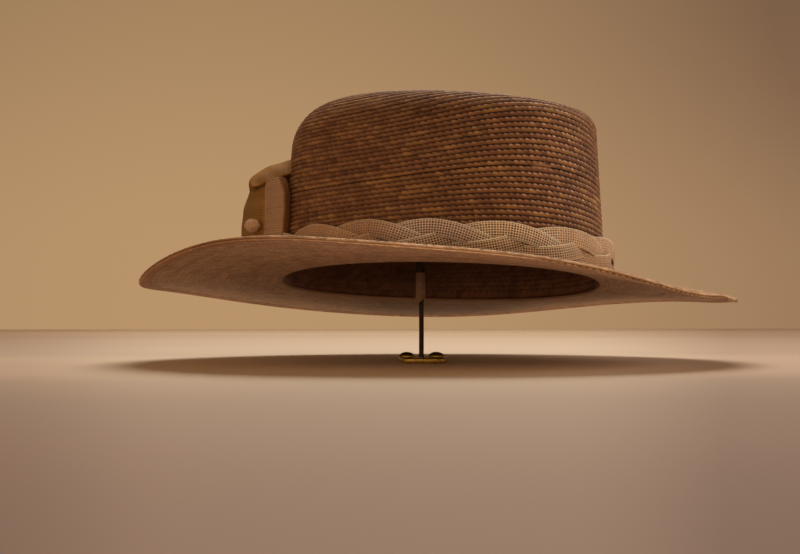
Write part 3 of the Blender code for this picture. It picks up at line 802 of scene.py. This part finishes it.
bow = {
    "thickness": 0.8, "steps": 22, "columns": 15, "threads": 16,
    # rows along each tape's middle line: x, y, z, width, turn about the upright, lean
    "loop": ((-117.2, -9.4, 1.1, 24, -52, 0), (-117.8, -9.4, 24, 24.6, -52, 0),
             (-117.4, -9.8, 42, 23, -52, 0), (-115.8, -10.8, 52, 18.6, -52, 0),
             (-113.6, -11.8, 58, 15, -54, 0)),
    "strap": ((-94.6, -12, 69.6, 17, -86, -42), (-109, -12, 64.2, 18.4, -84, -42),
              (-116, -12.2, 60.2, 18, -84, -38), (-119.8, -12.4, 57.4, 15.5, -80, -30),
              (-119, -13, 54.4, 12, -66, -14)),
    "tail": ((-105.9, -25, 21.5, 15.4, -48, 0), (-105.4, -25, 38, 16.2, -48, 0),
             (-105.8, -24.6, 50, 15.6, -48, 0), (-107.2, -23.3, 58.5, 12.4, -54, 0)),
    "bulge": {"loop": -2.4, "strap": 0.8, "tail": -1}, "returned": {"loop": 0, "strap": 0, "tail": 4.5},
    "bendRadius": 1.3, "bendTurn": (15, 105), "bendSteps": 7, "flapSteps": 5,
    "crease": 0.15, "creaseWaves": (0.55, 0.3),       # mm high, radians a mm along and across
    "rollCentre": (-118.2, -20.2, 29.9), "rollRadii": (5, 4.8, 4.3), "rollSwell": 0.07, "rollWefts": 20,
    "rollRows": 34, "rollColumns": 64, "rollOpening": 0.08,
}
# lit and shaded copies of the one gauze tape, with the light painted in: the loop and the strap in painted
# shade, the tail and the rolled end lit and paler
shadedLoopTape = dict(plainTape, thread=rgb(163, 125, 68), weft=rgb(155, 119, 64), hole=rgb(135, 101, 52),
                selvedge=rgb(164, 124, 68))
shadedStrapTape = dict(plainTape, thread=rgb(153, 108, 32), weft=rgb(150, 105, 30), hole=rgb(145, 100, 28),
                selvedge=rgb(155, 110, 34), bump=0.00005, fold=(0.3, 0.7), foldShadeColour=rgb(130, 86, 8))
litRollTape = dict(plainTape, thread=rgb(236, 204, 172), weft=rgb(226, 192, 160), hole=rgb(186, 150, 118),
                selvedge=rgb(226, 186, 140))
litTailTape = dict(plainTape, thread=rgb(194, 162, 136), weft=rgb(186, 154, 128), hole=rgb(170, 136, 110),
                selvedge=rgb(204, 164, 112), fold=(0.70, 0.76), foldShadeColour=rgb(136, 92, 52))


def smoothRows(table, steps):
    # Catmull-Rom curve through the rows of a table
    rows = np.array(table, float)
    rows = np.vstack([2 * rows[0] - rows[1], rows, 2 * rows[-1] - rows[-2]])
    t = np.linspace(0, 1, steps, endpoint=False)[:, None]
    parts = []
    for a, b, c, d in zip(rows, rows[1:], rows[2:], rows[3:]):
        parts.append(0.5 * (2 * b + (c - a) * t + (2 * a - 5 * b + 4 * c - d) * t ** 2
                            + (3 * b - a - 3 * c + d) * t ** 3))
    return np.vstack(parts + [rows[-2:-1]])


def bowSection(kind, width):
    # across and lift of the points over a tape's width, steps x points x 2: a shallow arch, and for the tail
    # a round bend at its front edge and a flap that turns back to the crown
    share = np.linspace(-1, 1, bow["columns"])
    arch = bow["bulge"][kind] * (1 - share ** 2)
    flat = np.stack([share * width[:, None] / 2, np.broadcast_to(arch, (len(width), len(share)))], -1)
    if not bow["returned"][kind]:
        return flat
    turn = np.radians(np.linspace(*bow["bendTurn"], bow["bendSteps"]))
    bend = bow["bendRadius"] * np.stack([np.sin(turn), 1 - np.cos(turn)], -1)
    steps = np.linspace(0, bow["returned"][kind], bow["flapSteps"])[1:, None]
    flap = bend[-1] + steps * np.array([math.cos(turn[-1]), math.sin(turn[-1])])
    return np.concatenate([flat, flat[:, -1:] + np.concatenate([bend, flap])], axis=1)


def addBowPart(kind, side, points, cells, material):
    word = "right" if side > 0 else "left"
    points = hatToWorld(points * np.array([1, side, 1]))
    piece = gridPiece("bow_%s_tape_%s" % (kind, word), points, cells, "weave", middles(points), side > 0)
    finishPiece(piece, "bow_%s_%s" % (kind, word), (material,))


def buildBowTape(kind, side, material):
    # the section is carried along the table's curve, with soft slanting creases, as a sheet with two faces
    # that is thinner at its edges
    rows = smoothRows(bow[kind], bow["steps"])
    line, turn, lean = rows[:, :3], np.radians(rows[:, 4]), np.radians(rows[:, 5])
    across = np.stack([np.cos(turn) * np.cos(lean), np.sin(turn) * np.cos(lean), np.sin(lean)], -1)
    lift = unit(np.cross(np.gradient(line, axis=0), across))
    section = bowSection(kind, rows[:, 3])
    long, wide = wayAlong(line), wayAlong(section.transpose(1, 0, 2)).mean(1)
    waveLong, waveWide = bow["creaseWaves"]
    crease = bow["crease"] * np.sin(long[:, None] * waveLong + wide * waveWide)
    sheet = line[:, None] + across[:, None] * section[..., :1]
    sheet = sheet + lift[:, None] * (section[..., 1] + crease)[..., None]
    half = bow["thickness"] / 2 * (1 - 0.5 * np.abs(np.linspace(-1, 1, len(wide))) ** 8)
    wall = gridNormals(sheet, closed=False) * half[:, None]
    points = np.concatenate([sheet - wall, (sheet + wall)[:, ::-1]], axis=1)
    label = np.concatenate([wide, wide[::-1], wide[:1]]) / wide[-1] * bow["threads"]
    cells = cellUv(label, long / hat["weftLength"])[..., ::-1]
    addBowPart(kind, side, points, cells, material)


def buildBowRoll(side, material):
    # a ball whose radius swells and sinks in a spiral, as a rolled end of tape does
    up = np.linspace(bow["rollOpening"], math.pi - bow["rollOpening"], bow["rollRows"])[:, None]
    turn = turns(bow["rollColumns"])
    radius = 1 - bow["rollSwell"] * (0.5 + 0.5 * np.cos(2 * turn + 6 * up))
    out = radius * np.sin(up)
    ball = np.stack([out * np.cos(turn), out * np.sin(turn), radius * np.cos(up)], -1)
    points = ball * np.array(bow["rollRadii"]) + np.array(bow["rollCentre"])
    count = np.linspace(0, bow["rollWefts"], bow["rollColumns"] + 1)
    addBowPart("roll", side, points, cellUv(count, up[:, 0] * bow["threads"] / math.pi), material)


# Display stand, in the world's own millimetres

stand = {
    "footLength": 27, "footDepth": 46, "footThickness": 3, "footCorner": 4, "footBevel": 0.4,
    "footRound": 0.5, "footInsets": (3.2, 9), "footSides": 64,
    "screwSpacing": 18.6, "screwRadius": 5, "screwHeight": 3.2, "screwLift": 0.3, "screwRings": 26,
    "screwSides": 96, "slotWidth": 1.1, "slotDepth": 0.9, "slotEdge": 0.3,
    "slotTurn": {"back": 35, "front": -20},
    "sleeveRadius": 2.9, "sleeveRound": 0.25, "sleeveShift": -0.6, "sleeveBore": 1.8, "sleeveFoot": 38.6,
    "sleeveSlope": 0.8, "sleeveTop": 56, "sleeveSides": 40,
}


def roundedOutline(halfX, halfY, corner, count):
    # a rectangle with round corners, at count even directions of its corner arcs
    turn = turns(count) + math.pi / count
    x = np.sign(np.cos(turn)) * (halfX - corner) + corner * np.cos(turn)
    y = np.sign(np.sin(turn)) * (halfY - corner) + corner * np.sin(turn)
    return np.stack([x, y], -1)


def buildFoot(material):
    # outlines at these insets and heights: up the side, round the upper edge and in over the flat top
    low, r, t = stand["footBevel"], stand["footRound"], stand["footThickness"]
    profile = [(low, 0), (0, low)]
    profile += [(r - r * math.cos(a), t - r + r * math.sin(a)) for a in np.linspace(0, math.pi / 2, 5)]
    profile += [(inset, t) for inset in stand["footInsets"]]
    rings = []
    for inset, height in profile:
        outline = roundedOutline(stand["footLength"] / 2 - inset, stand["footDepth"] / 2 - inset,
                                 max(0.3, stand["footCorner"] - inset), stand["footSides"])
        rings.append(np.column_stack([outline, np.full(len(outline), height)]))
    points = np.stack([rings[0] * np.array([0.5, 0.5, 0])] + rings) / 1000
    piece = gridPiece("stand_foot_plate", points, poles=middles(points))
    finishPiece(piece, "stand_foot", (material,))


def buildScrew(word, x, material):
    # a dome, radius sin and height cos, with a straight slot sunk across it
    share = np.linspace(0, 1, stand["screwRings"])[:-1, None]
    turn = turns(stand["screwSides"])
    out = stand["screwRadius"] * np.sin((1 - share) * math.pi / 2)
    height = stand["screwHeight"] * np.cos((1 - share) * math.pi / 2)
    slotTurn = math.radians(stand["slotTurn"][word])
    off = np.abs(out * np.cos(turn) * math.sin(slotTurn) - out * np.sin(turn) * math.cos(slotTurn))
    cut = np.clip(((stand["slotWidth"] + stand["slotEdge"]) / 2 - off) / stand["slotEdge"], 0, 1)
    height = height - stand["slotDepth"] * cut * np.clip(height, 0, 1)
    base = stand["footThickness"] + stand["screwLift"]
    points = np.stack([out * np.cos(turn) + x, out * np.sin(turn), height + base], -1) / 1000
    top = np.array([x, 0, base + stand["screwHeight"] - stand["slotDepth"]]) / 1000
    piece = gridPiece("screw_head_" + word, points, poles=(middles(points)[0], top))
    finishPiece(piece, "screw_" + word, (material,))


def buildSleeve(material):
    # a tube whose lower end is cut on a slant; each ring has a radius, a shift and a share of the way up
    turn = turns(stand["sleeveSides"])
    outer, bore, shift = stand["sleeveRadius"], stand["sleeveBore"], stand["sleeveShift"]
    narrow = outer - stand["sleeveRound"]
    rings = []
    for radius, moved, share in ((narrow, shift, 0), (outer, shift, 0.03), (outer, shift, 0.97),
                                 (narrow, shift, 1), (bore, 0, 1), (bore, 0, 0)):
        x, y = radius * np.cos(turn) + moved, radius * np.sin(turn)
        low = stand["sleeveFoot"] + stand["sleeveSlope"] * x
        rings.append(np.stack([x, y, low + (stand["sleeveTop"] - low) * share], -1))
    piece = gridPiece("stand_tube", np.stack(rings) / 1000)
    finishPiece(piece, "stand_sleeve", (material,))


def metalMaterial(name, colour, dark, metallic, roughness, bump):
    # cloudy stains, and fine scratches that run round the upright
    surface = Surface(name, {"Metallic": metallic, "Roughness": roughness})
    stain = surface.noise(surface.place(), 0.22, 4, 0.65)
    scratch = surface.noise(surface.vector("MULTIPLY", surface.place(), (0.6, 0.6, 6)), 1.2, 3)
    tone = surface.shade(surface.mix(stain.rise(0.4, 0.72), colour, dark), 0.85 + scratch * 0.3)
    return surface.paint(tone, roughness + (stain - 0.5) * 0.35, scratch * 0.5 + stain * 0.5, bump)


def plainMaterial(name, colour, roughness, scale, bump):
    # moulded plastic: soft mottle and a fine grain
    surface = Surface(name, {"Roughness": roughness})
    mottle = surface.noise(surface.place(), scale, 3, 0.6)
    grain = surface.noise(surface.place(), 3.5, 2, 0.6)
    darker = tuple(c * 0.7 for c in colour[:3]) + (1,)
    tone = surface.shade(surface.mix(mottle.rise(0.3, 0.7), colour, darker), 0.9 + grain * 0.2)
    return surface.paint(tone, roughness + (mottle - 0.5) * 0.2, grain, bump)


# Floor, light and camera

view = {
    "floorFar": 1.25, "floorSide": 9, "floorColour": rgb(222, 202, 182), "floorNearShade": rgb(186, 160, 148),
    "fanFrom": (-83, -895), "fanTurn": -0.078, "sideShadeTint": (0.72, 0.65, 0.64, 1),
    "wall": rgb(185, 148, 107), "wallShade": rgb(139, 107, 81),
    "brightest": -0.05, "fadeWidth": 0.42, "behind": 1.03, "overhead": 0.55, "high": 0.30,
    "lights": (("key light", (0.10, 0.38, 0.85), 0.7, 7), ("side light", (1.3, 0.1, 0.6), 0.6, 4),
               ("front light", (-0.5, -1.4, 0.2), 0.9, 1.2)),       # name, place, size, power
    "lightColour": (1, 0.93, 0.80), "lightAim": (0, 0, 0.09),
    "frameWidth": 800, "focalPixels": 1433.25, "horizonRow": 305.1, "middleRow": 277,
    "cameraPlace": (-0.08345, -0.89527, 0.0358), "cameraTurn": -0.078,
}


def buildFloor():
    side, far, low = view["floorSide"], view["floorFar"], -0.0001       # just under the foot
    mesh = bpy.data.meshes.new("floor")
    mesh.from_pydata([(-side, -side, low), (side, -side, low), (side, far, low), (-side, far, low)],
                     [], [(0, 1, 2, 3)])
    floor = bpy.data.objects.new("floor", mesh)
    bpy.context.scene.collection.objects.link(floor)
    # painted light and shade: darker in a belt in front of the hat and in one behind it, lighter under the
    # hat, darker to both sides in a fan from the front and towards the near side, brighter far off
    surface = Surface("plain pale floor", {"Roughness": 0.75})
    soft = surface.noise(surface.place(), 0.004)
    x, y, z = surface.xyz()
    fanX, fanY = view["fanFrom"]
    fan = (x - fanX) / (y - fanY) + view["fanTurn"]
    close = y.rise(-880, -760) * x.size().fall(700, 1600)
    sides = ((fan * -1).rise(0.15, 0.29) * 0.8 + fan.rise(0.11, 0.30) * 1.4) * close
    belt = y.rise(-560, -330) * y.fall(-240, -130) * 0.22 - y.rise(-560, -330) * 0.10
    belt = (belt + y.rise(60, 170) * (0.20 - y.rise(430, 640) * 0.10)) * close
    tone = surface.mix(y.rise(-700, -50), view["floorNearShade"], view["floorColour"])
    tone = surface.vector("MULTIPLY", tone, surface.mix(sides, (1, 1, 1, 1), view["sideShadeTint"]))
    tone = surface.shade(tone, (1 - belt) * (1 + y.rise(640, 1050) * 0.5) * (0.97 + soft * 0.06))
    mesh.materials.append(surface.paint(tone))


def buildRoom():
    # the room is brightest just left of the far wall's middle and behind the camera, and dimmer overhead
    world = bpy.data.worlds.new("room")
    bpy.context.scene.world = world
    world.use_nodes = True
    tree = world.node_tree
    way = addNode(tree, "ShaderNodeTexCoord", {}, {}, "Generated")
    toRight, ahead, up = [addNode(tree, "ShaderNodeSeparateXYZ", {}, {0: way}, axis) for axis in (0, 1, 2)]
    aside = ((toRight - view["brightest"]) / view["fadeWidth"]) ** 2
    aside = aside * ahead.rise(0, 0.6) * (0.72 + up.rise(0, 0.22) * 0.6)
    colour = addNode(tree, "ShaderNodeMix", {"data_type": "RGBA"},
                     {0: aside, 6: view["wall"], 7: view["wallShade"]}, 2)
    strength = 1 + (ahead * -1).rise(0, 0.7) * view["behind"]
    strength = strength * (1 - up.rise(0.2, 0.8) * view["overhead"]) * (1 - up.rise(0.03, 0.3) * view["high"])
    tree.links.new(colour.socket, tree.nodes["Background"].inputs["Color"])
    tree.links.new(strength.socket, tree.nodes["Background"].inputs["Strength"])


def addLight(name, place, size, power):
    # a round lamp that points at the hat
    light = bpy.data.lights.new(name, "AREA")
    light.shape = "DISK"
    light.size = size
    light.energy = power
    light.color = view["lightColour"]
    lamp = bpy.data.objects.new(name, light)
    lamp.location = place
    x, y, z = np.array(view["lightAim"]) - np.array(place)
    lamp.rotation_euler = (math.atan2(math.hypot(x, y), -z), 0, math.atan2(y, x) - math.pi / 2)
    bpy.context.scene.collection.objects.link(lamp)


def buildCamera():
    camera = bpy.data.cameras.new("camera")
    camera.sensor_width = 36
    camera.lens = view["focalPixels"] / view["frameWidth"] * camera.sensor_width
    camera.shift_y = (view["horizonRow"] - view["middleRow"]) / view["frameWidth"]
    eye = bpy.data.objects.new("camera", camera)
    eye.location = view["cameraPlace"]
    eye.rotation_euler = (math.pi / 2, 0, view["cameraTurn"])
    bpy.context.scene.collection.objects.link(eye)
    bpy.context.scene.camera = eye


print("materials")
strawOutside = strawMaterial("brown straw braid", brownStraw, strawSpots["outside"])
strawInside = strawMaterial("brown straw braid inside", insideStraw, strawSpots["inside"])
strawBrim = strawMaterial("pale straw braid", paleStraw)
strawUnder = strawMaterial("pale straw braid underneath", underStraw)
strawEdge = strawMaterial("edge straw braid", edgeStraw, strawSpots["tip"])
strawRim = strawMaterial("rim straw braid", rimStraw, strawSpots["tip"])
gauze = tapeMaterial("gauze tape", bandTape, band["threads"])
gauzeShadedLoop = tapeMaterial("gauze tape in shade", shadedLoopTape, bow["threads"])
gauzeShadedStrap = tapeMaterial("golden gauze tape in shade", shadedStrapTape, bow["threads"])
gauzeLitTail = tapeMaterial("lit gauze tape", litTailTape, bow["threads"])
gauzeLitRoll = tapeMaterial("lit rolled gauze tape", litRollTape, bow["threads"])
brass = metalMaterial("aged brass", rgb(198, 168, 88), rgb(116, 88, 40), 1, 0.42, 0.0001)
steel = metalMaterial("dark steel", rgb(60, 46, 36), rgb(34, 24, 18), 0.8, 0.5, 0.00008)
tubing = plainMaterial("pale tubing", rgb(154, 120, 90), 0.55, 0.3, 0.00005)
padding = plainMaterial("dark rest", rgb(52, 40, 32), 0.7, 0.1, 0.0001)

print("crown")
buildCrown(strawOutside, strawInside)
print("brim")
buildBrim(strawBrim, strawUnder, strawRim)
buildBrimEdge(strawEdge)
print("band")
for number in range(1, band["strands"] + 1):
    buildStrand(number, gauze)
print("bow")
for side in (1, -1):
    for kind, tape in (("loop", gauzeShadedLoop), ("strap", gauzeShadedStrap), ("tail", gauzeLitTail)):
        buildBowTape(kind, side, tape)
    buildBowRoll(side, gauzeLitRoll)
print("stand")
buildFoot(brass)
for word, place in (("back", -0.5), ("front", 0.5)):
    buildScrew(word, place * stand["screwSpacing"], brass)
buildSleeve(tubing)
for node, material in (("stand_rod", steel), ("stand_post", steel), ("crown_rest", padding)):
    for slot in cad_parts[node].material_slots:
        slot.material = material

print("room")
bpy.context.scene.view_settings.view_transform = "Standard"
buildFloor()
buildRoom()
for light in view["lights"]:
    addLight(*light)
buildCamera()

bpy.context.view_layer.update()
